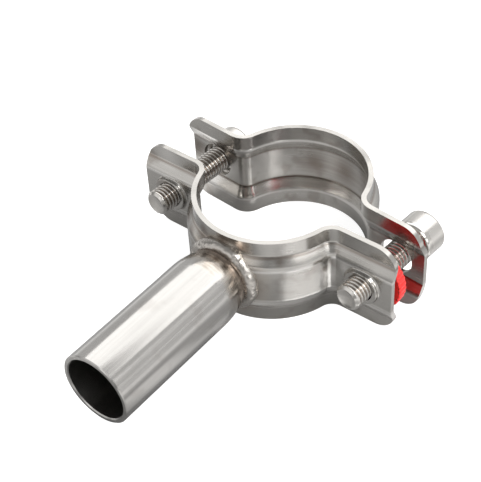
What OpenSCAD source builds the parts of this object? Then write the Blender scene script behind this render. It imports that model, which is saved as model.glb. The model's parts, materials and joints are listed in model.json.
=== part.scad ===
// Two-piece pipe clamp on a tube stem: two stamped half-bands, two socket-head bolts and a ribbed ring.
// The pipe's axis is Z, the stem points along -Y and the origin is the centre of the base half's pipe seat.

/* [Pipe] */
// Outside diameter of the pipe that the clamp holds
pipe_d = 42.4; // [34:0.1:60]

/* [Half-bands] */
// Height of the band along the pipe
band_h = 29; // [26:0.5:40]
// Thickness of the sheet
sheet = 1.5; // [1:0.1:2]
// Height of the plain lip along each edge of the band
lip_h = 5; // [3.5:0.1:6]
// Height of the slanted flank between a lip and the web
flank_h = 2.8; // [2.2:0.1:4]
// How far the web stands out from the lips
web_out = 1.9; // [1:0.1:2.6]
// Inside radius of the creases along the band
crease_r = 1.2; // [0.3:0.1:1.6]
// Radius of the crook between ring and ear, on the web's outer face
crook_r = 2.4; // [0.5:0.1:3]
// Distance from the pipe's middle plane to the inner face of an ear's lips
ear_gap = 1.4; // [0.8:0.1:3]
// Distance from a bolt to the end of its ear
ear_tail = 9.6; // [9:0.1:14]
// Corner radius at the ends of the ears
ear_corner_r = 6.5; // [3:0.1:8]

/* [Tapped collars] */
// Outside diameter of the drawn collar around a tapped hole
collar_d = 11; // [10:0.1:12]
// Height of the collar on the web's outer face
collar_h = 1.3; // [0.8:0.1:2]
// Radius of the fillet at the collar's root, limited by its height
collar_root = 0.8; // [0.4:0.1:1]
// Radial play of a bolt in its tapped hole
tap_play = 0.2; // [0.16:0.01:0.3]

/* [Bolts] */
// Distance from the pipe's surface to each bolt's axis
bolt_off = 13.2; // [12.6:0.1:18]
// Outside diameter of the thread
bolt_d = 7.9; // [6:0.1:8.2]
// Length under the head
bolt_len = 29; // [25:0.5:40]
// How far the left head stands off the cap's ear
head_gap = 0.4; // [0.2:0.1:3]
// Bevel at the tip
tip_bevel = 0.7; // [0.3:0.1:1.2]
// Diameter of the head
head_d = 13; // [12:0.1:14]
// Height of the head
head_h = 8; // [6:0.1:10]
// Rounding of the head's outer edge
head_round = 0.9; // [0.4:0.1:1.5]
// Size of the hexagon socket across its flats
socket_af = 6; // [4:0.1:7]
// Depth of the hexagon socket
socket_deep = 4.2; // [3:0.1:5]

/* [Cap half] */
// Diameter of the clearance holes in the cap's ears
hole_d = 11; // [10:0.1:11.5]
// How far the cap's pipe seat stands off the base's along the bolts
cap_open = 9.7; // [6:0.1:14]
// Angle at which the loose cap and its bolts lean about the pipe's direction
cap_lean = 4.1; // [0:0.1:4.5]

/* [Ribbed ring] */
// Outside diameter of the ring on the right bolt
ring_d = 20; // [19.6:0.1:22]
// Thickness of the ring
ring_t = 3.2; // [2:0.1:3.6]
// Radial play of the bolt in the ring
ring_play = 0.3; // [0.2:0.05:0.6]
// Number of grooves between the ring's ribs
groove_n = 36; // [24:1:48]
// Radius of each groove
groove_r = 0.45; // [0.3:0.05:0.6]

/* [Stem] */
// Outside diameter of the stem tube
stem_d = 22; // [20:0.1:24]
// Wall of the stem tube
stem_wall = 1.5; // [1:0.1:3]
// Length from the band's web to the open mouth
stem_reach = 51.4; // [30:0.1:120]
// Diameter of the drawn-in neck
neck_d = 18.4; // [17:0.1:18.6]
// Length over which the tube is drawn in
neck_len = 10; // [6:0.1:16]
// Bevel of the mouth's edges
mouth_bevel = 0.3; // [0.1:0.05:0.5]

/* [Weld] */
// Radius of the weld bead's section
weld_r = 2.2; // [1.6:0.1:2.6]

/* [Hidden] */
$fn = 96;
eps = 1;

pipe_r = pipe_d / 2;
half_h = band_h / 2;
bolt_x = pipe_r + bolt_off;
ear_end = bolt_x + ear_tail;
bolt_r = bolt_d / 2;
neck_r = neck_d / 2;

// The crook's pipe-side radius and centre, tangent to the ring and to the ear
crook_in = crook_r + sheet + web_out;
crook_y = -ear_gap - crook_in;
crook_x = sqrt(pow(pipe_r + crook_in, 2) - pow(crook_y, 2));
crook_a = atan2(-crook_y, crook_x);
// How far the crook cuts into ring and ear, so that their faces cross instead of grazing
crook_bite = 0.005;

// Faces of the base half's ears, counted along -Y
web_face = pipe_r + sheet + web_out;
ear_out = ear_gap + web_out + sheet;
tap_len = sheet + collar_h;
tap_y = -(ear_gap + web_out + tap_len / 2);
tap_r = bolt_r + tap_play;
root_r = min(collar_root, 0.62 * collar_h);
collar_edge = 0.3 * collar_h;
// How far a collar's fillet dips under the web's face, so that the two cross instead of grazing
root_bite = 0.05;

// Underside of the heads along a bolt, counted from the middle of its tapped hole
head_at = cap_open - tap_y + ear_out + bolt_x * sin(cap_lean) + head_gap;

// Hat section: flank angle and the heights of its two corners on the pipe side
flank_a = atan2(web_out, flank_h);
z_lip = half_h - lip_h;
z_web = z_lip - flank_h;
steps = 3;

// Points of an arc in the section plane
function arc(c, r, a0, a1) =
    [for (i = [0 : steps]) c + r * [cos(a0 + (a1 - a0) * i / steps), sin(a0 + (a1 - a0) * i / steps)]];

// Upper half of one face of the sheet, off = 0 on the pipe side and off = sheet outside, with a run-over on top
function hat_top(off, over) =
    let (
        ro = sheet + crease_r,
        c1 = [ro, z_lip + ro * tan(flank_a / 2)],
        c2 = [web_out - crease_r, z_web - crease_r * tan(flank_a / 2)]
    )
    concat(
        [[off, half_h + over]],
        arc(c1, ro - off, 180, 180 + flank_a),
        arc(c2, crease_r + off, flank_a, 0)
    );

// One face of the sheet from top to bottom: x is the distance outward from the pipe side, y is the height
function flip(pts) = [for (i = [len(pts) - 1 : -1 : 0]) [pts[i][0], -pts[i][1]]];
function hat_face(off, over = 0) = concat(hat_top(off, over), flip(hat_top(off, over)));

// Closes a face of the sheet, placed by a shift and a direction, with a straight line at x = x0
function closed(pts, shift, dir, x0) =
    concat([[x0, pts[0][1]]], [for (p = pts) [shift + dir * p[0], p[1]]], [[x0, -pts[0][1]]]);

// Everything inside one face of the ring, as a turned solid
module ring_core(off, over = 0) {
    rotate_extrude()
        polygon(closed(hat_face(off, over), pipe_r, 1, 0));
}

// Everything between one face of the ears and a plane at y = top
module ear_slab(off, over, top) {
    rotate([90, 0, 90])
        linear_extrude(height = 2 * (ear_end + over), center = true)
            polygon(closed(hat_face(off, over), -ear_gap, -1, top));
}

// Fills the corner between ring and ear up to the crook
module crook_fill(off, over) {
    root = 0.9 * pipe_r;
    difference() {
        linear_extrude(height = 2 * (half_h + over), center = true)
            polygon([
                [crook_x, crook_y],
                [root * cos(crook_a), -root * sin(crook_a)],
                [root * cos(crook_a), 0],
                [crook_x, 0]
            ]);
        translate([crook_x, crook_y, 0])
            rotate_extrude()
                polygon(closed(hat_face(off, over + eps), crook_in + crook_bite, -1, 0));
    }
}

// Everything on the pipe side of one face of the sheet
module pipe_side(off, over, top) {
    ring_core(off, over);
    ear_slab(off, over, top);
    crook_fill(off, over);
    mirror([1, 0, 0])
        crook_fill(off, over);
}

// Front view of the band with its rounded ear ends
module ear_outline() {
    square([2 * (ear_end - ear_corner_r), band_h], center = true);
    square([2 * ear_end, band_h - 2 * ear_corner_r], center = true);
    for (sx = [-1, 1])
        for (sz = [-1, 1])
            translate([sx * (ear_end - ear_corner_r), sz * (half_h - ear_corner_r)])
                circle(r = ear_corner_r);
}

// One stamped half, opening towards +Y, without its holes
module half_band() {
    difference() {
        intersection() {
            pipe_side(sheet, 0, 0);
            rotate([90, 0, 0])
                linear_extrude(height = 2 * (web_face + eps), center = true)
                    ear_outline();
        }
        pipe_side(0, eps, web_face + eps);
    }
}

// Places its children on both bolt axes of a square half
module at_bolts(y) {
    for (s = [-1, 1])
        translate([s * bolt_x, y, 0])
            rotate([90, 0, 0])
                children();
}

// Solid of a drawn collar, rooted in the web with a fillet
module collar() {
    collar_r = collar_d / 2;
    rotate_extrude()
        polygon(concat(
            [[0, -sheet / 2], [collar_r + root_r, -sheet / 2]],
            arc([collar_r + root_r, root_r - root_bite], root_r, -90, -180),
            arc([collar_r - collar_edge, collar_h - collar_edge], collar_edge, 0, 90),
            [[0, collar_h]]
        ));
}

// The frame of the loose cap and of each bolt, turned about a point on the tapped holes' middle plane
module lean(x) {
    translate([x, tap_y, 0])
        rotate([0, 0, -cap_lean])
            children();
}

module base_half() {
    color("silver")
        difference() {
            union() {
                half_band();
                at_bolts(-ear_out)
                    collar();
            }
            at_bolts(-ear_gap)
                cylinder(r = tap_r, h = ear_out + collar_h + eps);
        }
}

module cap_half() {
    color("silver")
        lean(0)
            translate([0, cap_open - tap_y, 0])
                mirror([0, 1, 0])
                    difference() {
                        half_band();
                        at_bolts(-ear_gap)
                            cylinder(d = hole_d, h = ear_out + eps);
                    }
}

// Half outline of the stem, x from its axis and y from the pipe's axis towards the mouth
function neck_curve(r_tube, r_neck) =
    let (
        drop = r_tube - r_neck,
        rc = (neck_len * neck_len + drop * drop) / (2 * drop),
        sweep = asin(neck_len / rc),
        n = 8
    )
    [for (i = [0 : n]) [
        r_tube - rc + rc * cos(sweep * i / n),
        web_face + neck_len - rc * sin(sweep * i / n)
    ]];

// The tube's outside as a solid that runs on into the band
module stem_outside() {
    mouth = web_face + stem_reach;
    rotate([90, 0, 0])
        rotate_extrude()
            polygon(concat(
                [[0, mouth], [stem_d / 2 - mouth_bevel, mouth], [stem_d / 2, mouth - mouth_bevel]],
                neck_curve(stem_d / 2, neck_r),
                [[neck_r, pipe_r], [0, pipe_r]]
            ));
}

module stem_inside() {
    mouth = web_face + stem_reach;
    bore = stem_d / 2 - stem_wall;
    rotate([90, 0, 0])
        rotate_extrude()
            polygon(concat(
                [[0, mouth + eps], [bore + mouth_bevel, mouth + eps], [bore + mouth_bevel, mouth]],
                [[bore, mouth - mouth_bevel]],
                neck_curve(bore, neck_r - stem_wall),
                [[neck_r - stem_wall, pipe_r - eps], [0, pipe_r - eps]]
            ));
}

module stem_tube() {
    color("lightgray")
        difference() {
            stem_outside();
            stem_inside();
            ring_core(sheet);
        }
}

module weld_bead() {
    color("tan")
        difference() {
            rotate([90, 0, 0])
                rotate_extrude()
                    translate([neck_r + 0.1 * weld_r, web_face - 0.8 * weld_r])
                        circle(r = weld_r, $fn = 48);
            stem_outside();
            ring_core(sheet);
        }
}

// A bolt along Z with its tip at z = 0
module bolt() {
    difference() {
        rotate_extrude()
            polygon(concat(
                [[0, 0], [bolt_r - tip_bevel, 0], [bolt_r, tip_bevel], [bolt_r, bolt_len]],
                [[head_d / 2 - 0.4 * head_round, bolt_len], [head_d / 2, bolt_len + 0.4 * head_round]],
                arc([head_d / 2 - head_round, bolt_len + head_h - head_round], head_round, 0, 90),
                [[0, bolt_len + head_h]]
            ));
        translate([0, 0, bolt_len + head_h - socket_deep])
            cylinder(d = socket_af / cos(30), h = socket_deep + eps, $fn = 6);
    }
}

// A bolt in its tapped hole, s = -1 on the left and 1 on the right
module set_bolt(s) {
    lean(s * bolt_x)
        translate([0, head_at - bolt_len, 0])
            rotate([-90, 0, 0])
                bolt();
}

module left_bolt() {
    color("gainsboro")
        set_bolt(-1);
}

module right_bolt() {
    color("gainsboro")
        set_bolt(1);
}

module retaining_ring() {
    ring_x = bolt_x + tan(cap_lean) * (ring_t / 2 - ear_gap - tap_y);
    color("red")
        translate([ring_x, -ear_gap, 0])
            rotate([-90, 0, 0])
                difference() {
                    cylinder(d = ring_d, h = ring_t);
                    translate([0, 0, -eps])
                        cylinder(r = bolt_r + ring_play, h = ring_t + 2 * eps);
                    for (i = [0 : groove_n - 1])
                        rotate([0, 0, 360 * i / groove_n])
                            translate([ring_d / 2 + groove_r / 3, 0, -eps])
                                cylinder(r = groove_r, h = ring_t + 2 * eps, $fn = 24);
                }
}

base_half();
cap_half();
stem_tube();
weld_bead();
left_bolt();
right_bolt();
retaining_ring();
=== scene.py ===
import json
import math
import bmesh
import bpy
from mathutils import Matrix, Vector


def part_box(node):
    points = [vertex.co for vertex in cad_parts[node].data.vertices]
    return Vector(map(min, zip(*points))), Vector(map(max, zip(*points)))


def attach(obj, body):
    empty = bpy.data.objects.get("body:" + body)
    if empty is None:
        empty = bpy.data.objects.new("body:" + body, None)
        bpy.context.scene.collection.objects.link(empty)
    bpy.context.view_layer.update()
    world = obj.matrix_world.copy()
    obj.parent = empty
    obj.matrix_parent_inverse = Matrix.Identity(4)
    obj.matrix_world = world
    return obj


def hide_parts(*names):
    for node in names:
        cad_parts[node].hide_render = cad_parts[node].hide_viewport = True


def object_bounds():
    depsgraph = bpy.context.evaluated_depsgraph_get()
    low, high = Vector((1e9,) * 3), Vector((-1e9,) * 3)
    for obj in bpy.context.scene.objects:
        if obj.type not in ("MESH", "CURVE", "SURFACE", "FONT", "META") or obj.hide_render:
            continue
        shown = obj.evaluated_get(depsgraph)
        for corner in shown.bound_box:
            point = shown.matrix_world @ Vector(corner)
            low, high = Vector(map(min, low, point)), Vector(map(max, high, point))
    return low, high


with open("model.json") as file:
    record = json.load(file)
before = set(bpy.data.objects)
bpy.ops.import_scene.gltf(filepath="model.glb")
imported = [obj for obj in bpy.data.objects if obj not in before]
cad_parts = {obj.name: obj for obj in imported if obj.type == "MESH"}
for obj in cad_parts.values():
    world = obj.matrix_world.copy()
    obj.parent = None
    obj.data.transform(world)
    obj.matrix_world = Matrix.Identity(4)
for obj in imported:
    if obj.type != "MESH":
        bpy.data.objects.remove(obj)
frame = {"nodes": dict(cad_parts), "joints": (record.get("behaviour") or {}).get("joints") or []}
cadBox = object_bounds()  # the solids' box, whose bottom sets the floor
mm = 0.001

scene = bpy.context.scene
scene.view_settings.view_transform = "Standard"


# Node tree helpers
def addNode(tree, kind, place=(0, 0), **props):
    node = tree.nodes.new(kind)
    node.location = place
    for key, value in props.items():
        setattr(node, key, value)
    return node


def setInputs(node, **values):
    for key, value in values.items():
        node.inputs[key.replace("_", " ")].default_value = value
    return node


def mathNode(tree, operation, a, b=None, c=None, clamp=False):
    node = addNode(tree, "ShaderNodeMath", operation=operation, use_clamp=clamp)
    for i, value in enumerate((a, b, c)):
        if value is None:
            continue
        if isinstance(value, (int, float)):
            node.inputs[i].default_value = value
        else:
            tree.links.new(value, node.inputs[i])
    return node.outputs[0]


def smoothRange(tree, value, low, high, outLow=0.0, outHigh=1.0):
    node = addNode(tree, "ShaderNodeMapRange", interpolation_type="SMOOTHSTEP")
    tree.links.new(value, node.inputs["Value"])
    setInputs(node, From_Min=low, From_Max=high, To_Min=outLow, To_Max=outHigh)
    return node.outputs["Result"]


def mixColour(tree, factor, a, b, blend="MIX"):
    node = addNode(tree, "ShaderNodeMix", data_type="RGBA", blend_type=blend)
    for socket, value in ((node.inputs[0], factor), (node.inputs[6], a), (node.inputs[7], b)):
        if isinstance(value, (int, float)):
            socket.default_value = value
        elif isinstance(value, tuple):
            socket.default_value = (*value, 1.0)
        else:
            tree.links.new(value, socket)
    return node.outputs[2]


def newGroup(name, inputs, outputs):
    tree = bpy.data.node_groups.new(name, "ShaderNodeTree")
    for label, kind, start in inputs:
        socket = tree.interface.new_socket(label, in_out="INPUT", socket_type="NodeSocket" + kind)
        if start is not None:
            socket.default_value = start
    for label, kind in outputs:
        tree.interface.new_socket(label, in_out="OUTPUT", socket_type="NodeSocket" + kind)
    return tree, addNode(tree, "NodeGroupInput", (-900, 0)), addNode(tree, "NodeGroupOutput", (600, 0))


def placeGroup(tree, group, **values):
    node = addNode(tree, "ShaderNodeGroup", node_tree=group)
    return setInputs(node, **values)


# Camera, fitted to the object's outlines in the picture at the solids' sizes
view = {
    "place": (0.173850, -0.216837, 0.251165),
    "right": (0.785724, 0.616651, -0.048777),
    "up": (-0.390246, 0.555333, 0.734379),
    "back": (0.479944, -0.557984, 0.676984),
    "lens": 96.53,
}


def makeCamera(v):
    data = bpy.data.cameras.new("camera")
    data.sensor_fit = "HORIZONTAL"
    data.sensor_width = 36
    data.lens = v["lens"]
    data.clip_start = 0.01
    camera = bpy.data.objects.new("camera", data)
    turn = Matrix((v["right"], v["up"], v["back"])).transposed().to_4x4()
    camera.matrix_world = Matrix.Translation(v["place"]) @ turn
    scene.collection.objects.link(camera)
    scene.camera = camera


makeCamera(view)
print("camera placed")


# Room: a glossy pale floor, grey walls with brighter sides, a long soft box overhead behind the object, and
# a strip and a panel on the right. Only mirrored rays see the floor's painted pools of light, its painted
# glow further out, its painted shade in a dull ring round the bands and the stem's painted shadow.
room = {
    "floorColour": (0.36, 0.36, 0.36),
    "floorGlow": {"camera": 0.86, "mirrored": 0.05},
    "floorGloss": {"share": 0.16, "roughness": 0.12, "inner": (0.0225, 0.019), "outer": (0.0275, 0.033)},
    "paintedLightPools": [
        {"centre": (0.034, -0.052), "edge": (0.022, 0.006), "level": 0.5},
        {"centre": (-0.004, 0.021), "edge": (0.022, 0.004), "level": 0.35},
        {"centre": (-0.047, 0.014), "edge": (0.014, 0.006), "level": 0.90},
    ],
    "paintedFarGlow": {"edge": (0.07, 0.14), "level": 0.6},
    "paintedStemShadow": {"across": (0.018, 0.012), "along": (-0.030, -0.036), "share": 0.55},
    "floorSize": 3.0,
    "walls": 0.36,
    "wallTints": [
        {"towards": (-0.40, -0.86, 0.30), "edge": (0.78, 0.95), "level": 0.70},
        {"towards": (0.70, 0.60, 0.30), "edge": (0.80, 0.92), "level": 0.45},
        {"towards": (-0.85, 0.45, 0.15), "edge": (0.85, 0.95), "level": 0.35},
        {"towards": (0.15, -0.87, 0.47), "edge": (0.94, 0.99), "level": 0.60},
    ],
    "lamps": [
        {"name": "overhead", "place": (-0.10, 0.42, 0.61), "size": (1.30, 0.44), "power": 3.6},
        {"name": "rightStrip", "place": (0.56, -0.10, 0.17), "size": (0.42, 0.16), "power": 0.65},
        {"name": "rightPanel", "place": (0.49, -0.10, 0.50), "size": (0.50, 0.26), "power": 2.9},
    ],
}


def makeRoom(r):
    floorZ = cadBox[0].z
    half = r["floorSize"] / 2
    corners = [(-half, -half), (half, -half), (half, half), (-half, half)]
    mesh = bpy.data.meshes.new("floor")
    mesh.from_pydata([(x, y, floorZ) for x, y in corners], [], [(0, 1, 2, 3)])
    floor = bpy.data.objects.new("floor", mesh)
    scene.collection.objects.link(floor)
    paint = bpy.data.materials.new("paleFloor")
    paint.use_nodes = True
    tree = paint.node_tree
    tree.nodes.clear()
    out = addNode(tree, "ShaderNodeOutputMaterial", (400, 0))
    matt = addNode(tree, "ShaderNodeBsdfDiffuse")
    glow = setInputs(addNode(tree, "ShaderNodeEmission"), Color=(1, 1, 1, 1))
    path = addNode(tree, "ShaderNodeLightPath", (-600, 0))
    mirrored = mathNode(tree, "MAXIMUM", path.outputs["Is Glossy Ray"], path.outputs["Is Transmission Ray"])
    here = addNode(tree, "ShaderNodeTexCoord", (-900, -200)).outputs["Object"]
    reach = addNode(tree, "ShaderNodeVectorMath", operation="DISTANCE")
    tree.links.new(here, reach.inputs[0])
    reach.inputs[1].default_value = (0, 0, floorZ)
    # Painted glow, rising with distance from the object, seen only by mirrored rays
    level = smoothRange(tree, reach.outputs["Value"], *r["paintedFarGlow"]["edge"], 0.0, r["paintedFarGlow"]["level"])
    level = mathNode(tree, "ADD", level, r["floorGlow"]["mirrored"])
    # Painted pools of light, seen only by mirrored rays
    for pool in r["paintedLightPools"]:
        away = addNode(tree, "ShaderNodeVectorMath", operation="DISTANCE")
        tree.links.new(here, away.inputs[0])
        away.inputs[1].default_value = (*pool["centre"], floorZ)
        bright = smoothRange(tree, away.outputs["Value"], *pool["edge"], 0.0, pool["level"])
        level = mathNode(tree, "ADD", level, bright)
    # Painted shadow of the stem in the floor's colour, seen only by mirrored rays
    spot = addNode(tree, "ShaderNodeSeparateXYZ")
    tree.links.new(here, spot.inputs[0])
    shade = r["paintedStemShadow"]
    across = smoothRange(tree, mathNode(tree, "ABSOLUTE", spot.outputs["X"]), *shade["across"])
    along = smoothRange(tree, spot.outputs["Y"], *shade["along"], 0.0, shade["share"])
    shaded = mathNode(tree, "MULTIPLY", mathNode(tree, "MULTIPLY", across, along), mirrored)
    lit = mathNode(tree, "SUBTRACT", 1.0, shaded)
    tree.links.new(mixColour(tree, shaded, r["floorColour"], (0.0, 0.0, 0.0)), matt.inputs["Color"])
    level = mathNode(tree, "MULTIPLY", mirrored, level)
    level = mathNode(tree, "MULTIPLY_ADD", path.outputs["Is Camera Ray"], r["floorGlow"]["camera"], level)
    tree.links.new(level, glow.inputs["Strength"])
    # Painted shade: for mirrored rays the gloss is taken away in a ring round the bands and in the stem's
    # painted shadow
    shine = r["floorGloss"]
    gloss = setInputs(addNode(tree, "ShaderNodeBsdfGlossy"), Roughness=shine["roughness"])
    within = smoothRange(tree, reach.outputs["Value"], *shine["inner"])
    beyond = smoothRange(tree, reach.outputs["Value"], *shine["outer"])
    kept = mathNode(tree, "MULTIPLY", mathNode(tree, "ADD", within, beyond), lit)
    dulled = mathNode(tree, "MULTIPLY", mathNode(tree, "SUBTRACT", 1.0, kept), mirrored)
    polish = mathNode(tree, "MULTIPLY_ADD", dulled, -shine["share"], shine["share"])
    tree.links.new(polish, gloss.inputs["Color"])
    shiny = addNode(tree, "ShaderNodeAddShader", (0, 0))
    tree.links.new(matt.outputs[0], shiny.inputs[0])
    tree.links.new(gloss.outputs[0], shiny.inputs[1])
    both = addNode(tree, "ShaderNodeAddShader", (200, 0))
    tree.links.new(shiny.outputs[0], both.inputs[0])
    tree.links.new(glow.outputs[0], both.inputs[1])
    clear = addNode(tree, "ShaderNodeBsdfTransparent", (200, -200))
    oneSided = addNode(tree, "ShaderNodeMixShader", (300, 0))  # seen from below, the floor is not there
    tree.links.new(addNode(tree, "ShaderNodeNewGeometry").outputs["Backfacing"], oneSided.inputs[0])
    tree.links.new(both.outputs[0], oneSided.inputs[1])
    tree.links.new(clear.outputs[0], oneSided.inputs[2])
    tree.links.new(oneSided.outputs[0], out.inputs["Surface"])
    mesh.materials.append(paint)

    world = bpy.data.worlds.new("softSky")
    scene.world = world
    world.use_nodes = True
    tree = world.node_tree
    tree.nodes.clear()
    out = addNode(tree, "ShaderNodeOutputWorld", (400, 0))
    sky = addNode(tree, "ShaderNodeBackground", (200, 0))
    ray = addNode(tree, "ShaderNodeTexCoord", (-800, 0)).outputs["Generated"]
    level = r["walls"]
    for tint in r["wallTints"]:
        facing = addNode(tree, "ShaderNodeVectorMath", operation="DOT_PRODUCT")
        tree.links.new(ray, facing.inputs[0])
        facing.inputs[1].default_value = Vector(tint["towards"]).normalized()
        inside = smoothRange(tree, facing.outputs["Value"], *tint["edge"])
        level = mathNode(tree, "MULTIPLY_ADD", inside, tint["level"], level)
    tree.links.new(level, sky.inputs["Strength"])
    sky.inputs["Color"].default_value = (1, 1, 1, 1)
    tree.links.new(sky.outputs[0], out.inputs["Surface"])

    for lamp in r["lamps"]:
        light = bpy.data.lights.new(lamp["name"], "AREA")
        light.shape = "RECTANGLE"
        light.size, light.size_y = lamp["size"]
        light.energy = lamp["power"]
        holder = bpy.data.objects.new(lamp["name"], light)
        holder.location = lamp["place"]
        holder.rotation_euler = Vector(lamp["place"]).to_track_quat("Z", "Y").to_euler()
        scene.collection.objects.link(holder)


makeRoom(room)
print("room lit")


# Fine parallel lines of a brushed or turned surface, along the axis that has the fewest grains per metre
def makeBrushed():
    tree, given, out = newGroup(
        "brushedLines",
        [
            ("Vector", "Vector", None),
            ("Stretch", "Vector", (1, 1, 1)),
            ("Strength", "Float", 0.1),
            ("Base", "Float", 0.2),
        ],
        [("Roughness", "Float"), ("Height", "Float"), ("Tone", "Float")],
    )
    scaled = addNode(tree, "ShaderNodeVectorMath", operation="MULTIPLY")
    tree.links.new(given.outputs["Vector"], scaled.inputs[0])
    tree.links.new(given.outputs["Stretch"], scaled.inputs[1])
    grain = setInputs(addNode(tree, "ShaderNodeTexNoise"), Scale=1.0, Detail=3.0, Roughness=0.6)
    tree.links.new(scaled.outputs[0], grain.inputs["Vector"])
    centred = mathNode(tree, "SUBTRACT", grain.outputs["Fac"], 0.5)
    spread = mathNode(tree, "MULTIPLY", centred, given.outputs["Strength"])
    tree.links.new(mathNode(tree, "ADD", spread, given.outputs["Base"]), out.inputs["Roughness"])
    tree.links.new(grain.outputs["Fac"], out.inputs["Height"])
    tree.links.new(mathNode(tree, "ADD", spread, 1.0), out.inputs["Tone"])
    return tree


# Faint clouding and smudges; every bare metal piece has both, and the plastic has the clouding
cloudNoise = {"dulling": 0.6, "spotScale": 1.4, "spots": (0.56, 0.70)}


def makeClouding(n):
    tree, given, out = newGroup(
        "clouding",
        [
            ("Vector", "Vector", None),
            ("Size", "Float", 90.0),
            ("Amount", "Float", 0.1),
            ("Smudge", "Float", 0.0),
        ],
        [("Tone", "Float"), ("Roughness", "Float"), ("Mask", "Float")],
    )
    cloud = setInputs(addNode(tree, "ShaderNodeTexNoise"), Detail=4.0, Roughness=0.55)
    tree.links.new(given.outputs["Vector"], cloud.inputs["Vector"])
    tree.links.new(given.outputs["Size"], cloud.inputs["Scale"])
    centred = mathNode(tree, "SUBTRACT", cloud.outputs["Fac"], 0.5)
    swing = mathNode(tree, "MULTIPLY", centred, given.outputs["Amount"])
    tree.links.new(mathNode(tree, "ADD", swing, 1.0), out.inputs["Tone"])
    tree.links.new(mathNode(tree, "MULTIPLY", swing, n["dulling"]), out.inputs["Roughness"])
    spots = setInputs(addNode(tree, "ShaderNodeTexNoise"), Detail=2.0, Roughness=0.5)
    tree.links.new(given.outputs["Vector"], spots.inputs["Vector"])
    tree.links.new(mathNode(tree, "MULTIPLY", given.outputs["Size"], n["spotScale"]), spots.inputs["Scale"])
    spotted = smoothRange(tree, spots.outputs["Fac"], *n["spots"])
    tree.links.new(mathNode(tree, "MULTIPLY", spotted, given.outputs["Smudge"]), out.inputs["Mask"])
    return tree


# Straw to brown oxide around a weld, brown at the inner distance from its centre and gone at the outer one
heatRamp = {
    "edge": (0.60, 0.50, 0.38, 1), "core": (0.30, 0.23, 0.18, 1), "wobble": 0.005, "wobbleScale": 260.0,
}


def makeHeatTint(h):
    tree, given, out = newGroup(
        "heatTint",
        [
            ("Vector", "Vector", None),
            ("Centre", "Vector", (0, 0, 0)),
            ("Inner", "Float", 0.009),
            ("Outer", "Float", 0.016),
            ("Amount", "Float", 0.6),
        ],
        [("Colour", "Color"), ("Mask", "Float")],
    )
    away = addNode(tree, "ShaderNodeVectorMath", operation="DISTANCE")
    tree.links.new(given.outputs["Vector"], away.inputs[0])
    tree.links.new(given.outputs["Centre"], away.inputs[1])
    wobble = setInputs(addNode(tree, "ShaderNodeTexNoise"), Scale=h["wobbleScale"], Detail=2.0)
    tree.links.new(given.outputs["Vector"], wobble.inputs["Vector"])
    centred = mathNode(tree, "SUBTRACT", away.outputs["Value"], h["wobble"] / 2)
    shifted = mathNode(tree, "MULTIPLY_ADD", wobble.outputs["Fac"], h["wobble"], centred)
    fade = addNode(tree, "ShaderNodeMapRange", interpolation_type="SMOOTHSTEP")
    tree.links.new(shifted, fade.inputs["Value"])
    tree.links.new(given.outputs["Inner"], fade.inputs["From Min"])
    tree.links.new(given.outputs["Outer"], fade.inputs["From Max"])
    setInputs(fade, To_Min=1.0, To_Max=0.0)
    mask = mathNode(tree, "MULTIPLY", fade.outputs["Result"], given.outputs["Amount"])
    tree.links.new(mask, out.inputs["Mask"])
    tint = addNode(tree, "ShaderNodeValToRGB")
    tint.color_ramp.elements[0].color = h["edge"]
    tint.color_ramp.elements[1].color = h["core"]
    tree.links.new(fade.outputs["Result"], tint.inputs["Fac"])
    tree.links.new(tint.outputs["Color"], out.inputs["Colour"])
    return tree


brushedLines = makeBrushed()
clouding = makeClouding(cloudNoise)
heatTint = makeHeatTint(heatRamp)

# Each bare metal's colour, roughness, grain per metre along X, Y and Z, and how cloudy or smudged it is
bandFinish = {
    "colour": (0.45, 0.435, 0.41), "roughness": 0.24, "grain": (45, 45, 1500), "grainStrength": 0.16,
    "cloud": 0.16, "smudge": 0.40, "heat": 0.45, "bump": 0.02, "cutEdge": 0.88,
    "waves": {"scale": 130.0, "height": 0.0003},
    # creases: their heights and centre, and the painted highlight on the outer lower flank
    "creases": {"lip": 9.5 * mm, "web": 5.6 * mm, "centre": (0, 0, 0), "outerFlankHighlight": 0.95},
}
# Painted reflections on the base band: the dark patches are painted shade, the bright ones painted highlight
bandFinish["marks"] = [
    {"at": (24.2, -6.4, -1.0), "reach": 4.5, "amount": 0.70, "paintedHighlight": True},
    {"at": (21.5, -8.5, 12.3), "reach": 4.5, "amount": 0.85, "paintedHighlight": True},
    {"at": (15.9, -17.5, 8.5), "reach": 2.2, "amount": 0.70},
    {"at": (23.3, -7.0, 2.2), "reach": 1.8, "amount": 0.80},
    {"at": (6.3, -21.8, 11.7), "reach": 2.6, "amount": 0.80},
    {"at": (3.7, -22.4, 12.2), "reach": 2.2, "amount": 0.40, "paintedHighlight": True},
    {"at": (0.2, -22.7, 12.3), "reach": 2.6, "amount": 0.90},
    {"at": (-7.4, -21.5, 11.8), "reach": 3.2, "amount": 0.95},
    {"at": (-13.5, -18.3, 12.3), "reach": 3.5, "amount": 0.95, "paintedHighlight": True},
    {"at": (-17.8, -16.2, 7.4), "reach": 3.5, "amount": 0.95},
    {"at": (-13.3, -20.6, 7.5), "reach": 3.4, "amount": 0.60},
    {"at": (25.5, -4.3, 8.0), "reach": 1.8, "amount": 0.55},
    {"at": (28.5, -4.8, 3.5), "reach": 3.0, "amount": 0.75, "paintedHighlight": True},
    {"at": (-36.0, -2.9, 13.0), "reach": 7.0, "amount": 0.45, "paintedHighlight": True},
]
capFinish = {**bandFinish, "heat": 0.0, "cutEdge": 1.10}
# The cap's creases centre on the cap, and it has a painted highlight on its inner lower flank
capFinish["creases"] = {**bandFinish["creases"], "centre": (1.0 * mm, 9.7 * mm, 0), "innerFlankHighlight": 0.85}
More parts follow.
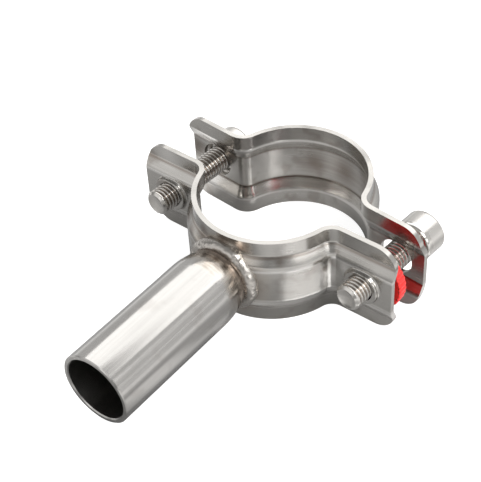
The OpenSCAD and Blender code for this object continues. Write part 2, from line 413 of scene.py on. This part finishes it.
# Painted reflections on the cap: the dark patches are painted shade, the bright ones painted highlight
capFinish["marks"] = [
    {"at": (-13.0, 27.0, -7.8), "reach": 3.0, "amount": 0.60},
    {"at": (-17.6, 21.8, -8.0), "reach": 2.0, "amount": 0.50},
    {"at": (14.0, 29.0, 0.0), "reach": 9.0, "amount": 0.70},
    {"at": (-7.5, 31.2, 0.0), "reach": 7.0, "amount": 0.80},
    {"at": (3.0, 32.8, 0.0), "reach": 8.0, "amount": 0.80},
    {"at": (-41.5, 16.0, 1.0), "reach": 6.0, "amount": 0.80},
    {"at": (28.8, 10.8, 6.4), "reach": 3.0, "amount": 0.90, "paintedHighlight": True},
    {"at": (31.6, 10.2, 7.1), "reach": 3.0, "amount": 0.90, "paintedHighlight": True},
    {"at": (34.4, 9.5, 8.0), "reach": 3.0, "amount": 0.90, "paintedHighlight": True},
]
tubeFinish = {
    "colour": (0.44, 0.428, 0.41), "roughness": 0.18, "grain": (380, 5, 380), "grainStrength": 0.65,
    "cloud": 0.08, "smudge": 0.15, "heat": 0.7, "heatReach": 0.0145, "bump": 0.05,
    "turned": {"grain": (120, 1150, 120), "strength": 1.6, "gain": 2.0},
    "bore": {"reach": 10.0 * mm, "blend": 0.2 * mm, "roughness": 0.25},
}
boltFinish = {
    "colour": (0.60, 0.58, 0.55), "roughness": 0.17, "grain": (320, 12, 320), "grainStrength": 0.55,
    "cloud": 0.10, "smudge": 0.20, "heat": 0.0, "bump": 0.02,
    # root: painted shade in the thread roots
    "root": {"colour": (0.17, 0.12, 0.085), "power": 1.5, "share": 0.85},
    "head": {"from": (18.5 * mm, 19.5 * mm), "roughness": 0.14},
}
weldFinish = {
    "colour": (0.48, 0.465, 0.44), "roughness": 0.28, "grain": (400, 400, 400), "grainStrength": 0.16,
    "cloud": 0.20, "smudge": 0.30, "heat": 0.22, "bump": 0.05,
}
# Dark colour of real random smudges and of painted shade; the light colour is a painted highlight
smudgeAndShadeColour = (0.20, 0.165, 0.14)
paintedHighlightColour = (0.80, 0.78, 0.75)
weldHeat = {"centre": (0, -0.0245, 0), "inner": 0.0098, "outer": 0.0165}
# Widths, patchiness and shares of the painted shade and painted highlights along the creases and lower flanks
creasePaintedLight = {
    "line": (0.8 * mm, 0.1 * mm), "patches": (0.25, 0.55), "creaseShade": 0.70, "paintedHighlight": 0.60, "lowLipHighlight": 1.5,
    "flankFrom": (0.2 * mm, 0.8 * mm), "flankTo": 0.6 * mm,
}
raggedMost = 3.0  # a mark's edge wanders by no more than this, in mm
shearedFacing = (0.80, 0.97)  # how far up or down a band's sheared edge faces
reliefDepth = 0.0002


# Painted reflections: dark patches of painted shade and bright patches of painted highlight, each fading out
# from one spot
def paintReflections(tree, here, lines, colour, marks):
    for mark in marks:
        away = addNode(tree, "ShaderNodeVectorMath", operation="DISTANCE")
        tree.links.new(here, away.inputs[0])
        away.inputs[1].default_value = [c * mm for c in mark["at"]]
        ragged = min(mark["reach"], raggedMost) * mm
        rim = mathNode(tree, "MULTIPLY_ADD", lines.outputs["Height"], ragged, away.outputs["Value"])
        cover = smoothRange(tree, rim, mark["reach"] * mm + ragged / 2, ragged / 2, 0.0, mark["amount"])
        colour = mixColour(tree, cover, colour, paintedHighlightColour if mark.get("paintedHighlight") else smudgeAndShadeColour)
    return colour


# Painted shade darkens the hollow side of a crease, and a painted highlight lightens the ridge side,
# the lower flanks and the outside of the lower lip's crease
def paintCreaseLight(tree, coords, lines, colour, creases, w):
    here = coords.outputs["Object"]
    height = addNode(tree, "ShaderNodeSeparateXYZ")
    tree.links.new(here, height.inputs[0])
    level = mathNode(tree, "ABSOLUTE", height.outputs["Z"])
    outward = addNode(tree, "ShaderNodeVectorMath", operation="SUBTRACT")
    tree.links.new(here, outward.inputs[0])
    outward.inputs[1].default_value = creases["centre"]
    side = addNode(tree, "ShaderNodeVectorMath", operation="DOT_PRODUCT")
    tree.links.new(outward.outputs[0], side.inputs[0])
    tree.links.new(coords.outputs["Normal"], side.inputs[1])
    outside = mathNode(tree, "GREATER_THAN", side.outputs["Value"], 0.0)
    inside = mathNode(tree, "SUBTRACT", 1.0, outside)
    low = mathNode(tree, "LESS_THAN", height.outputs["Z"], 0.0)
    lowerOutside = mathNode(tree, "MULTIPLY", outside, low)
    upperOutside = mathNode(tree, "SUBTRACT", outside, lowerOutside)
    bright = mathNode(tree, "MULTIPLY_ADD", lowerOutside, w["lowLipHighlight"], inside)
    # Painted shade on the hollow side of each crease, painted highlight on the ridge side
    for crease, hollow, ridge in (("lip", upperOutside, bright), ("web", inside, outside)):
        near = mathNode(tree, "ABSOLUTE", mathNode(tree, "SUBTRACT", level, creases[crease]))
        line = smoothRange(tree, near, *w["line"])
        patchy = mathNode(tree, "MULTIPLY", line, smoothRange(tree, lines.outputs["Height"], *w["patches"]))
        creaseShade = mathNode(tree, "MULTIPLY", mathNode(tree, "MULTIPLY", patchy, hollow), w["creaseShade"])
        colour = mixColour(tree, creaseShade, colour, smudgeAndShadeColour)
        paintedHighlight = mathNode(tree, "MULTIPLY", mathNode(tree, "MULTIPLY", line, ridge), w["paintedHighlight"])
        colour = mixColour(tree, paintedHighlight, colour, paintedHighlightColour)
    # Painted highlight on the lower flanks, between the web crease and the lip crease
    below = mathNode(tree, "MULTIPLY", height.outputs["Z"], -1.0)
    start, full = w["flankFrom"]
    upTo = smoothRange(tree, below, creases["web"] + start, creases["web"] + full)
    downTo = smoothRange(tree, below, creases["lip"], creases["lip"] - w["flankTo"])
    belt = mathNode(tree, "MULTIPLY", upTo, downTo)
    for key, face in (("innerFlankHighlight", inside), ("outerFlankHighlight", outside)):
        share = mathNode(tree, "MULTIPLY", face, creases.get(key, 0.0))
        colour = mixColour(tree, mathNode(tree, "MULTIPLY", belt, share), colour, paintedHighlightColour)
    return colour


def steelRoughness(tree, here, rough, f):
    if "bore" in f:
        bore = f["bore"]
        across = addNode(tree, "ShaderNodeVectorMath", operation="MULTIPLY")
        tree.links.new(here, across.inputs[0])
        across.inputs[1].default_value = (1, 0, 1)
        reach = addNode(tree, "ShaderNodeVectorMath", operation="LENGTH")
        tree.links.new(across.outputs[0], reach.inputs[0])
        edges = (bore["reach"] + bore["blend"], bore["reach"] - bore["blend"])
        inside = smoothRange(tree, reach.outputs["Value"], *edges)
        rough = mathNode(tree, "MULTIPLY", rough, mathNode(tree, "SUBTRACT", 1.0, inside))
        rough = mathNode(tree, "MULTIPLY_ADD", inside, bore["roughness"], rough)
    if "head" in f:
        behind = addNode(tree, "ShaderNodeSeparateXYZ")
        tree.links.new(here, behind.inputs[0])
        satin = smoothRange(tree, behind.outputs["Y"], *f["head"]["from"], 0.0, f["head"]["roughness"])
        rough = mathNode(tree, "ADD", rough, satin)
    return rough


def makeSteel(name, f):
    steel = bpy.data.materials.new(name)
    steel.use_nodes = True
    tree = steel.node_tree
    shader = tree.nodes["Principled BSDF"]
    shader.inputs["Metallic"].default_value = 1.0
    coords = addNode(tree, "ShaderNodeTexCoord", (-1200, 0))
    here = coords.outputs["Object"]
    grain = {"Stretch": f["grain"], "Strength": f["grainStrength"], "Base": f["roughness"]}
    lines = placeGroup(tree, brushedLines, **grain)
    tree.links.new(here, lines.inputs["Vector"])
    cloud = placeGroup(tree, clouding, Amount=f["cloud"], Smudge=f["smudge"])
    tree.links.new(here, cloud.inputs["Vector"])
    rough = mathNode(tree, "ADD", lines.outputs["Roughness"], cloud.outputs["Roughness"], clamp=True)
    tree.links.new(steelRoughness(tree, here, rough, f), shader.inputs["Roughness"])
    tone = mathNode(tree, "MULTIPLY", lines.outputs["Tone"], cloud.outputs["Tone"])
    shade = addNode(tree, "ShaderNodeCombineColor")
    for i in range(3):
        tree.links.new(mathNode(tree, "MULTIPLY", tone, f["colour"][i]), shade.inputs[i])
    colour = mixColour(tree, cloud.outputs["Mask"], shade.outputs[0], smudgeAndShadeColour)
    if f["heat"]:
        tint = placeGroup(tree, heatTint, Centre=weldHeat["centre"], Inner=weldHeat["inner"])
        setInputs(tint, Outer=f.get("heatReach", weldHeat["outer"]), Amount=f["heat"])
        tree.links.new(here, tint.inputs["Vector"])
        colour = mixColour(tree, tint.outputs["Mask"], colour, tint.outputs["Colour"])
        if "turned" in f:  # the tinted part of the tube shows turned lines
            t = f["turned"]
            turned = placeGroup(tree, brushedLines, Stretch=t["grain"], Strength=t["strength"], Base=0.0)
            tree.links.new(here, turned.inputs["Vector"])
            scored = mathNode(tree, "MULTIPLY", tint.outputs["Mask"], t["gain"], clamp=True)
            colour = mixColour(tree, scored, colour, turned.outputs["Tone"], blend="MULTIPLY")
    # Painted reflections, dark and bright
    colour = paintReflections(tree, here, lines, colour, f.get("marks", []))
    # Painted shade and painted highlights along the creases and lower flanks
    if "creases" in f:
        colour = paintCreaseLight(tree, coords, lines, colour, f["creases"], creasePaintedLight)
    if "cutEdge" in f:
        facing = addNode(tree, "ShaderNodeSeparateXYZ")
        tree.links.new(coords.outputs["Normal"], facing.inputs[0])
        sheared = smoothRange(tree, mathNode(tree, "ABSOLUTE", facing.outputs["Z"]), *shearedFacing)
        colour = mixColour(tree, sheared, colour, tuple(f["cutEdge"] * c for c in f["colour"]))
    # Painted shade in the thread roots, from the depth of the cut
    if "root" in f:
        root = addNode(tree, "ShaderNodeAttribute", attribute_name="rootShade").outputs["Fac"]
        curved = mathNode(tree, "POWER", root, f["root"]["power"])
        deep = mathNode(tree, "MULTIPLY", curved, f["root"]["share"])
        colour = mixColour(tree, deep, colour, f["root"]["colour"])
    tree.links.new(colour, shader.inputs["Base Color"])
    relief = setInputs(addNode(tree, "ShaderNodeBump"), Strength=f["bump"], Distance=reliefDepth)
    tree.links.new(lines.outputs["Height"], relief.inputs["Height"])
    if "waves" in f:
        swell = addNode(tree, "ShaderNodeTexNoise")
        setInputs(swell, Scale=f["waves"]["scale"], Detail=0.5, Roughness=0.4)
        tree.links.new(here, swell.inputs["Vector"])
        uneven = setInputs(addNode(tree, "ShaderNodeBump"), Strength=1.0, Distance=f["waves"]["height"])
        tree.links.new(swell.outputs["Fac"], uneven.inputs["Height"])
        tree.links.new(uneven.outputs["Normal"], relief.inputs["Normal"])
    tree.links.new(relief.outputs["Normal"], shader.inputs["Normal"])
    return steel


bandSteel = makeSteel("bandSteel", bandFinish)
capSteel = makeSteel("capSteel", capFinish)
tubeSteel = makeSteel("tubeSteel", tubeFinish)
boltSteel = makeSteel("boltSteel", boltFinish)
weldSteel = makeSteel("weldSteel", weldFinish)


redFinish = {
    "colour": (0.95, 0.035, 0.03), "roughness": 0.3, "specular": 0.4, "coat": 0.10, "coatRoughness": 0.08,
    "cloudSize": 220.0, "cloud": 0.18,
}


def makeRedPlastic(f):
    red = bpy.data.materials.new("redPlastic")
    red.use_nodes = True
    tree = red.node_tree
    shader = tree.nodes["Principled BSDF"]
    setInputs(shader, Specular_IOR_Level=f["specular"])
    setInputs(shader, Coat_Weight=f["coat"], Coat_Roughness=f["coatRoughness"])
    here = addNode(tree, "ShaderNodeTexCoord", (-900, 0)).outputs["Object"]
    cloud = placeGroup(tree, clouding, Size=f["cloudSize"], Amount=f["cloud"])
    tree.links.new(here, cloud.inputs["Vector"])
    colour = mixColour(tree, 1.0, f["colour"], cloud.outputs["Tone"], blend="MULTIPLY")
    tree.links.new(colour, shader.inputs["Base Color"])
    rough = mathNode(tree, "ADD", cloud.outputs["Roughness"], f["roughness"])
    tree.links.new(rough, shader.inputs["Roughness"])
    return red


redPlastic = makeRedPlastic(redFinish)
print("finishes mixed")


# The bands' flanks reach further down the web than the solids' do; heights in mm from mid-height.
# Near the weld they stay where the bead was laid on them.
flankShape = {
    "foot": 5.0, "solidCrease": 6.7, "crease": 5.6, "lip": 9.5, "weldClear": (13.5, 18.0), "weldFront": -15.0,
}
mergeGap = 0.002 * mm  # corners of the solids' faces that lie this close are one
flatDeg = 0.2  # faces that meet at less than this are one
cutDeg = 60  # edges of the bands sharper than this are sheared, and get rounded
rimRound = 0.35 * mm


def lowerCrease(co, f):
    z = abs(co.z) / mm
    if not f["foot"] < z < f["lip"]:
        return
    if z < f["solidCrease"]:
        new = f["foot"] + (z - f["foot"]) * (f["crease"] - f["foot"]) / (f["solidCrease"] - f["foot"])
    else:
        share = (z - f["solidCrease"]) / (f["lip"] - f["solidCrease"])
        new = f["crease"] + share * (f["lip"] - f["crease"])
    keep = 1.0
    if co.y / mm < f["weldFront"]:
        low, high = f["weldClear"]
        t = min(1.0, max(0.0, (math.hypot(co.x, co.z) / mm - low) / (high - low)))
        keep = t * t * (3 - 2 * t)
    co.z = math.copysign((z + (new - z) * keep) * mm, co.z)


def addPiece(piece, body, node):
    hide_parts(node)
    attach(piece, body)


# Pieces made of the solids' own faces, shaded smooth across shallow creases. With edgeRound, which the bands
# have, the creases between flank and web are moved and the sheared edges rounded.
def smoothCopy(node, body, paint, sharpDeg=35, edgeRound=0.0):
    source = frame["nodes"][node].data
    bm = bmesh.new()
    bm.from_mesh(source)
    bmesh.ops.remove_doubles(bm, verts=bm.verts, dist=mergeGap)
    if edgeRound:
        for vert in bm.verts:
            lowerCrease(vert.co, flankShape)
        bmesh.ops.dissolve_limit(bm, angle_limit=math.radians(flatDeg), verts=bm.verts, edges=bm.edges)
        inner = [e for e in bm.edges if len(e.link_faces) == 2]
        cutEdges = [e for e in inner if e.calc_face_angle() > math.radians(cutDeg)]
        bmesh.ops.bevel(
            bm, geom=cutEdges, offset=edgeRound, segments=3, profile=0.5,
            affect="EDGES", clamp_overlap=True,
        )
    for edge in bm.edges:
        edge.smooth = len(edge.link_faces) == 2 and edge.calc_face_angle() < math.radians(sharpDeg)
    for face in bm.faces:
        face.smooth = True
    mesh = bpy.data.meshes.new(node + "Skin")
    bm.to_mesh(mesh)
    bm.free()
    mesh.materials.append(paint)
    skin = bpy.data.objects.new(node + "Skin", mesh)
    scene.collection.objects.link(skin)
    even = skin.modifiers.new("evenShading", "WEIGHTED_NORMAL")
    even.keep_sharp = True
    even.weight = 50
    addPiece(skin, body, node)


smoothCopy("base_half", "base", bandSteel, edgeRound=rimRound)
smoothCopy("cap_half", "cap", capSteel, edgeRound=rimRound)
smoothCopy("stem_tube", "base", tubeSteel)
print("bands and tube skinned")


# Geometry Nodes trees share this frame: a solid goes in, its surface is pushed about and takes its finish
def newShaper(name, inputs):
    tree = bpy.data.node_groups.new(name, "GeometryNodeTree")
    tree.interface.new_socket("Geometry", in_out="INPUT", socket_type="NodeSocketGeometry")
    for label, kind in inputs:
        tree.interface.new_socket(label, in_out="INPUT", socket_type="NodeSocket" + kind)
    tree.interface.new_socket("Finish", in_out="INPUT", socket_type="NodeSocketMaterial")
    tree.interface.new_socket("Geometry", in_out="OUTPUT", socket_type="NodeSocketGeometry")
    return tree, addNode(tree, "NodeGroupInput", (-1200, 0)), addNode(tree, "NodeGroupOutput", (900, 0))


def endShaper(tree, given, out, geometry):
    whole = addNode(tree, "GeometryNodeRealizeInstances", (500, 0))
    tree.links.new(geometry, whole.inputs[0])
    painted = addNode(tree, "GeometryNodeSetMaterial", (700, 0))
    tree.links.new(whole.outputs[0], painted.inputs["Geometry"])
    tree.links.new(given.outputs["Finish"], painted.inputs["Material"])
    tree.links.new(painted.outputs[0], out.inputs[0])


def shapeMesh(mesh, name, tree, place=None, **values):
    rough = bpy.data.objects.new(name, mesh)
    scene.collection.objects.link(rough)
    shaper = rough.modifiers.new("shape", "NODES")
    shaper.node_group = tree
    for item in tree.interface.items_tree:
        if item.item_type == "SOCKET" and item.in_out == "INPUT" and item.name in values:
            shaper[item.identifier] = values[item.name]
    bpy.context.view_layer.update()
    done = bpy.data.meshes.new_from_object(rough.evaluated_get(bpy.context.evaluated_depsgraph_get()))
    rough.modifiers.remove(shaper)
    rough.data = done
    bpy.data.meshes.remove(mesh)
    done.name = name
    if place:
        done.transform(place)
    return rough


# Radial push of a turned piece about its own Z axis: cut is how deep, in metres
def pushIn(tree, geometry, radius, split, cut):
    share = mathNode(tree, "MULTIPLY", mathNode(tree, "DIVIDE", cut, radius), -1.0)
    inward = addNode(tree, "ShaderNodeCombineXYZ")
    for i, axis in enumerate("XY"):
        tree.links.new(mathNode(tree, "MULTIPLY", split.outputs[axis], share), inward.inputs[i])
    moved = addNode(tree, "GeometryNodeSetPosition", (300, 0))
    tree.links.new(geometry, moved.inputs["Geometry"])
    tree.links.new(inward.outputs[0], moved.inputs["Offset"])
    return moved.outputs[0]


def aboutAxis(tree):
    place = addNode(tree, "GeometryNodeInputPosition", (-1200, -300))
    split = addNode(tree, "ShaderNodeSeparateXYZ", (-1000, -300))
    tree.links.new(place.outputs[0], split.inputs[0])
    x, y = split.outputs["X"], split.outputs["Y"]
    squares = mathNode(tree, "MULTIPLY_ADD", x, x, mathNode(tree, "MULTIPLY", y, y))
    radius = mathNode(tree, "MAXIMUM", mathNode(tree, "SQRT", squares), 1e-6)
    turn = mathNode(tree, "DIVIDE", mathNode(tree, "ARCTAN2", y, x), 2 * math.pi)
    mask = addNode(tree, "GeometryNodeInputNamedAttribute", data_type="FLOAT")
    mask.inputs["Name"].default_value = "cutHere"
    return split, radius, turn, mask.outputs["Attribute"]


# Right-hand thread: flat crest, straight flanks, flat root
def makeThreadTree():
    sizes = [("Pitch", "Float"), ("Depth", "Float"), ("Crest", "Float"), ("Root", "Float")]
    tree, given, out = newShaper("cutThread", sizes)
    split, radius, turn, mask = aboutAxis(tree)
    along = mathNode(tree, "DIVIDE", split.outputs["Z"], given.outputs["Pitch"])
    wound = mathNode(tree, "FRACT", mathNode(tree, "SUBTRACT", along, turn))
    wave = mathNode(tree, "ABSOLUTE", mathNode(tree, "MULTIPLY_ADD", wound, 2.0, -1.0))
    crest = given.outputs["Crest"]
    run = mathNode(tree, "SUBTRACT", mathNode(tree, "SUBTRACT", 1.0, crest), given.outputs["Root"])
    flank = mathNode(tree, "DIVIDE", mathNode(tree, "SUBTRACT", wave, crest), run, clamp=True)
    cut = mathNode(tree, "MULTIPLY", mathNode(tree, "MULTIPLY", flank, given.outputs["Depth"]), mask)
    # The depth of the cut is kept for the painted shade in the thread roots
    shaded = addNode(tree, "GeometryNodeStoreNamedAttribute", (100, 0), data_type="FLOAT", domain="POINT")
    shaded.inputs["Name"].default_value = "rootShade"
    tree.links.new(given.outputs["Geometry"], shaded.inputs["Geometry"])
    tree.links.new(mathNode(tree, "MULTIPLY", flank, mask), shaded.inputs["Value"])
    endShaper(tree, given, out, pushIn(tree, shaded.outputs["Geometry"], radius, split, cut))
    return tree


# Evenly spaced grooves round a rim, with rounded ribs between them
def makeRibTree():
    tree, given, out = newShaper("ribRim", [("Count", "Int"), ("Depth", "Float")])
    split, radius, turn, mask = aboutAxis(tree)
    around = mathNode(tree, "FRACT", mathNode(tree, "MULTIPLY", turn, given.outputs["Count"]))
    wave = mathNode(tree, "ABSOLUTE", mathNode(tree, "MULTIPLY_ADD", around, 2.0, -1.0))
    groove = mathNode(tree, "POWER", mathNode(tree, "SUBTRACT", 1.0, wave), 2.0)
    cut = mathNode(tree, "MULTIPLY", mathNode(tree, "MULTIPLY", groove, given.outputs["Depth"]), mask)
    endShaper(tree, given, out, pushIn(tree, given.outputs["Geometry"], radius, split, cut))
    return tree


# Scalloped ripples along a weld that runs round the Y axis
rippleNoise = {"scale": 420.0, "drift": 0.02, "trough": 0.6, "subdivisions": 2}


def makeRippleTree(n):
    sizes = [("Count", "Float"), ("Height", "Float"), ("Wander", "Float")]
    tree, given, out = newShaper("weldRipple", sizes)
    fine = addNode(tree, "GeometryNodeSubdivideMesh", (-700, 200))
    tree.links.new(given.outputs["Geometry"], fine.inputs["Mesh"])
    fine.inputs["Level"].default_value = n["subdivisions"]
    place = addNode(tree, "GeometryNodeInputPosition", (-1200, -300))
    split = addNode(tree, "ShaderNodeSeparateXYZ", (-1000, -300))
    tree.links.new(place.outputs[0], split.inputs[0])
    noise = setInputs(addNode(tree, "ShaderNodeTexNoise"), Scale=n["scale"], Detail=2.0)
    tree.links.new(place.outputs[0], noise.inputs["Vector"])
    drift = mathNode(tree, "SUBTRACT", noise.outputs["Fac"], 0.5)
    angle = mathNode(tree, "ARCTAN2", split.outputs["Z"], split.outputs["X"])
    turn = mathNode(tree, "DIVIDE", angle, 2 * math.pi)
    turn = mathNode(tree, "MULTIPLY_ADD", drift, n["drift"], turn)
    phase = mathNode(tree, "MULTIPLY", mathNode(tree, "MULTIPLY", turn, given.outputs["Count"]), math.pi)
    wave = mathNode(tree, "ABSOLUTE", mathNode(tree, "SINE", phase))
    rise = mathNode(tree, "MULTIPLY", mathNode(tree, "SUBTRACT", wave, n["trough"]), given.outputs["Height"])
    rise = mathNode(tree, "ADD", rise, mathNode(tree, "MULTIPLY", drift, given.outputs["Wander"]))
    normal = addNode(tree, "GeometryNodeInputNormal", (-1000, -500))
    push = addNode(tree, "ShaderNodeVectorMath", operation="SCALE")
    tree.links.new(normal.outputs[0], push.inputs[0])
    tree.links.new(rise, push.inputs["Scale"])
    moved = addNode(tree, "GeometryNodeSetPosition", (300, 0))
    tree.links.new(fine.outputs[0], moved.inputs["Geometry"])
    tree.links.new(push.outputs[0], moved.inputs["Offset"])
    endShaper(tree, given, out, moved.outputs[0])
    return tree


threadTree = makeThreadTree()
ribTree = makeRibTree()
rippleTree = makeRippleTree(rippleNoise)
print("shaping trees ready")


# One ring of points in mm: a radius or a function that gives it in metres, a height, and how far it is cut
def turnedRow(radius, height, cut=0, sharp=False):
    return (radius if callable(radius) else radius * mm, height * mm, cut, sharp)


# Rings of points turned about Z and joined in order, then capped at both ends or joined last to first
def turnedMesh(name, rows, around, capped=True):
    bm = bmesh.new()
    cutHere = bm.verts.layers.float.new("cutHere")
    rings = []
    for radius, height, mask, sharp in rows:
        ring = []
        for k in range(around):
            angle = 2 * math.pi * k / around
            r = radius(angle) if callable(radius) else radius
            vert = bm.verts.new((r * math.cos(angle), r * math.sin(angle), height))
            vert[cutHere] = mask
            ring.append(vert)
        rings.append((ring, sharp))
    for (lower, _), (upper, _) in zip(rings, rings[1:]):
        for k in range(around):
            bm.faces.new((lower[k], lower[(k + 1) % around], upper[(k + 1) % around], upper[k]))
    last, first = rings[-1][0], rings[0][0]
    if capped:
        bm.faces.new(reversed(first))
        bm.faces.new(last)
    else:
        for k in range(around):
            bm.faces.new((last[k], last[(k + 1) % around], first[(k + 1) % around], first[k]))
    for ring, sharp in rings:
        if sharp:
            for k in range(around):
                bm.edges.get((ring[k], ring[(k + 1) % around])).smooth = False
    for face in bm.faces:
        face.smooth = True
    bmesh.ops.recalc_face_normals(bm, faces=bm.faces)
    mesh = bpy.data.meshes.new(name)
    bm.to_mesh(mesh)
    bm.free()
    return mesh


# Socket-head bolts, lengths in mm along the bolt from its tip; the dish is in shares of its width and depth
boltShape = {
    "radius": 3.95, "length": 29.0, "pitch": 1.25, "depth": 0.60, "crest": 0.26, "root": 0.14,
    "leadIn": (0.7, 1.7), "tipBevel": 0.7, "tipStep": 0.15, "tipFlat": 0.93, "tipDish": 0.55,
    "dish": ((0.1, 1.0), (0.45, 0.8), (0.75, 0.42)),
    "threadFrom": 0.2, "plainNeck": 0.9, "neck": (0.6, 0.15), "neckFlare": 0.15,
    "headRadius": 6.5, "headHeight": 8.0, "headRound": 0.9, "roundSteps": 8, "underRound": 0.36,
    "sideFrom": 1.2, "sideTo": 0.4, "topRing": 0.6, "drillPoint": ((1.5, 0.3), (0.2, 0.8)),
    "socketAcross": 6.0, "socketDeep": 4.2, "socketBevel": 0.35, "around": 96, "step": 0.075,
}


def boltRows(b):
    def hexagon(angle):
        return b["socketAcross"] / 2 / math.cos((angle % (math.pi / 3)) - math.pi / 6) * mm

    length, head = b["length"], b["headRadius"]
    top = length + b["headHeight"]
    flat = b["radius"] - b["tipBevel"]
    rows = [turnedRow(across * flat, deep * b["tipDish"]) for across, deep in b["dish"]]
    rows += [turnedRow(b["tipFlat"] * flat, 0, sharp=True), turnedRow(flat, 0, sharp=True)]
    rows += [turnedRow(flat + b["tipStep"], b["tipStep"])]
    start, full = b["leadIn"]
    count = int((length - b["plainNeck"] - b["threadFrom"]) / b["step"])
    for i in range(count + 1):
        z = b["threadFrom"] + i * b["step"]
        bevel = min(1.0, z / b["tipBevel"])
        cut = min(1.0, max(0.0, (z - start) / (full - start)))
        rows.append(turnedRow(flat + b["tipBevel"] * bevel, z, cut))
    rows += [turnedRow(b["radius"], length - below) for below in b["neck"]]
    rows += [turnedRow(b["radius"] + b["neckFlare"], length, sharp=True)]
    rows += [turnedRow(head - b["underRound"], length), turnedRow(head, length + b["underRound"])]
    rows += [turnedRow(head, length + b["sideFrom"]), turnedRow(head, top - b["headRound"] - b["sideTo"])]
    for i in range(b["roundSteps"] + 1):
        a = math.pi / 2 * i / b["roundSteps"]
        inward, down = b["headRound"] * (1 - math.cos(a)), b["headRound"] * (1 - math.sin(a))
        rows.append(turnedRow(head - inward, top - down))
    wide = b["socketAcross"] / math.sqrt(3) + b["socketBevel"]
    rows += [turnedRow(wide + b["topRing"], top), turnedRow(wide, top, sharp=True)]
    rows += [turnedRow(hexagon, top - deep, sharp=True) for deep in (b["socketBevel"], b["socketDeep"])]
    rows += [turnedRow(radius, top - b["socketDeep"] - deep) for radius, deep in b["drillPoint"]]
    return rows


def makeBolt(node, jointName, body):
    joint = next(j for j in frame["joints"] if j["name"] == jointName)
    ahead = -Vector(joint["axis"]).normalized()  # from the tip towards the head
    on = Vector(joint["pos_m"])
    tip = min((v.co - on).dot(ahead) for v in frame["nodes"][node].data.vertices)
    side = Vector((0, 0, 1)).cross(ahead).normalized()
    turn = Matrix((side, ahead.cross(side), ahead)).transposed().to_4x4()
    place = Matrix.Translation(on + ahead * tip) @ turn
    b = boltShape
    blank = turnedMesh(node + "Blank", boltRows(b), b["around"])
    bolt = shapeMesh(
        blank, node + "Threaded", threadTree, place, Pitch=b["pitch"] * mm, Depth=b["depth"] * mm,
        Crest=b["crest"], Root=b["root"], Finish=boltSteel,
    )
    addPiece(bolt, body, node)


makeBolt("left_bolt", "left_bolt_turn", "left_screw")
makeBolt("right_bolt", "right_bolt_turn", "right_screw")
print("bolts threaded")

# Ribbed plastic ring on the right bolt, lengths in mm
ringShape = {
    "radius": 10.0, "bore": 4.25, "boreBevel": 0.2, "thick": 3.2, "round": 0.3, "roundSteps": 4,
    "ribs": 36, "depth": 0.3, "ribInset": 1.2, "faceCut": 0.8, "aroundPerRib": 12,
}


def makeRing(g):
    low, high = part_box("retaining_ring")
    middle = (low + high) / 2
    place = Matrix.Translation((middle.x, low.y, middle.z)) @ Matrix.Rotation(math.radians(-90), 4, "X")
    t, e = g["thick"], g["round"]
    bore, bevel, rim = g["bore"], g["boreBevel"], g["radius"] - e
    quarter = [math.pi / 2 * i / g["roundSteps"] for i in range(g["roundSteps"] + 1)]
    rows = [turnedRow(bore, t - bevel), turnedRow(bore, bevel), turnedRow(bore + bevel, 0, sharp=True)]
    rows += [turnedRow(g["radius"] - g["ribInset"], 0), turnedRow(rim, 0, g["faceCut"])]
    rows += [turnedRow(rim + e * math.sin(a), e - e * math.cos(a), 1) for a in quarter]
    rows += [turnedRow(g["radius"], 0.5 * t, 1)]
    rows += [turnedRow(rim + e * math.cos(a), t - e + e * math.sin(a), 1) for a in quarter]
    rows += [turnedRow(g["radius"] - g["ribInset"], t), turnedRow(bore + bevel, t, sharp=True)]
    blank = turnedMesh("ringBlank", rows, g["ribs"] * g["aroundPerRib"], capped=False)
    sizes = {"Count": g["ribs"], "Depth": g["depth"] * mm}
    ring = shapeMesh(blank, "ribbedRing", ribTree, place, Finish=redPlastic, **sizes)
    addPiece(ring, "base", "retaining_ring")


makeRing(ringShape)
print("ring ribbed")

# Weld between stem and band
weldShape = {"ripples": 26.0, "height": 0.07, "wander": 0.5}


def makeWeld(w):
    bm = bmesh.new()
    bm.from_mesh(frame["nodes"]["weld_bead"].data)
    bmesh.ops.remove_doubles(bm, verts=bm.verts, dist=mergeGap)
    for face in bm.faces:
        face.smooth = True
    blank = bpy.data.meshes.new("weldBlank")
    bm.to_mesh(blank)
    bm.free()
    sizes = {"Count": w["ripples"], "Height": w["height"] * mm, "Wander": w["wander"] * mm}
    bead = shapeMesh(blank, "weldRippled", rippleTree, Finish=weldSteel, **sizes)
    addPiece(bead, "base", "weld_bead")


makeWeld(weldShape)
print("skins made")
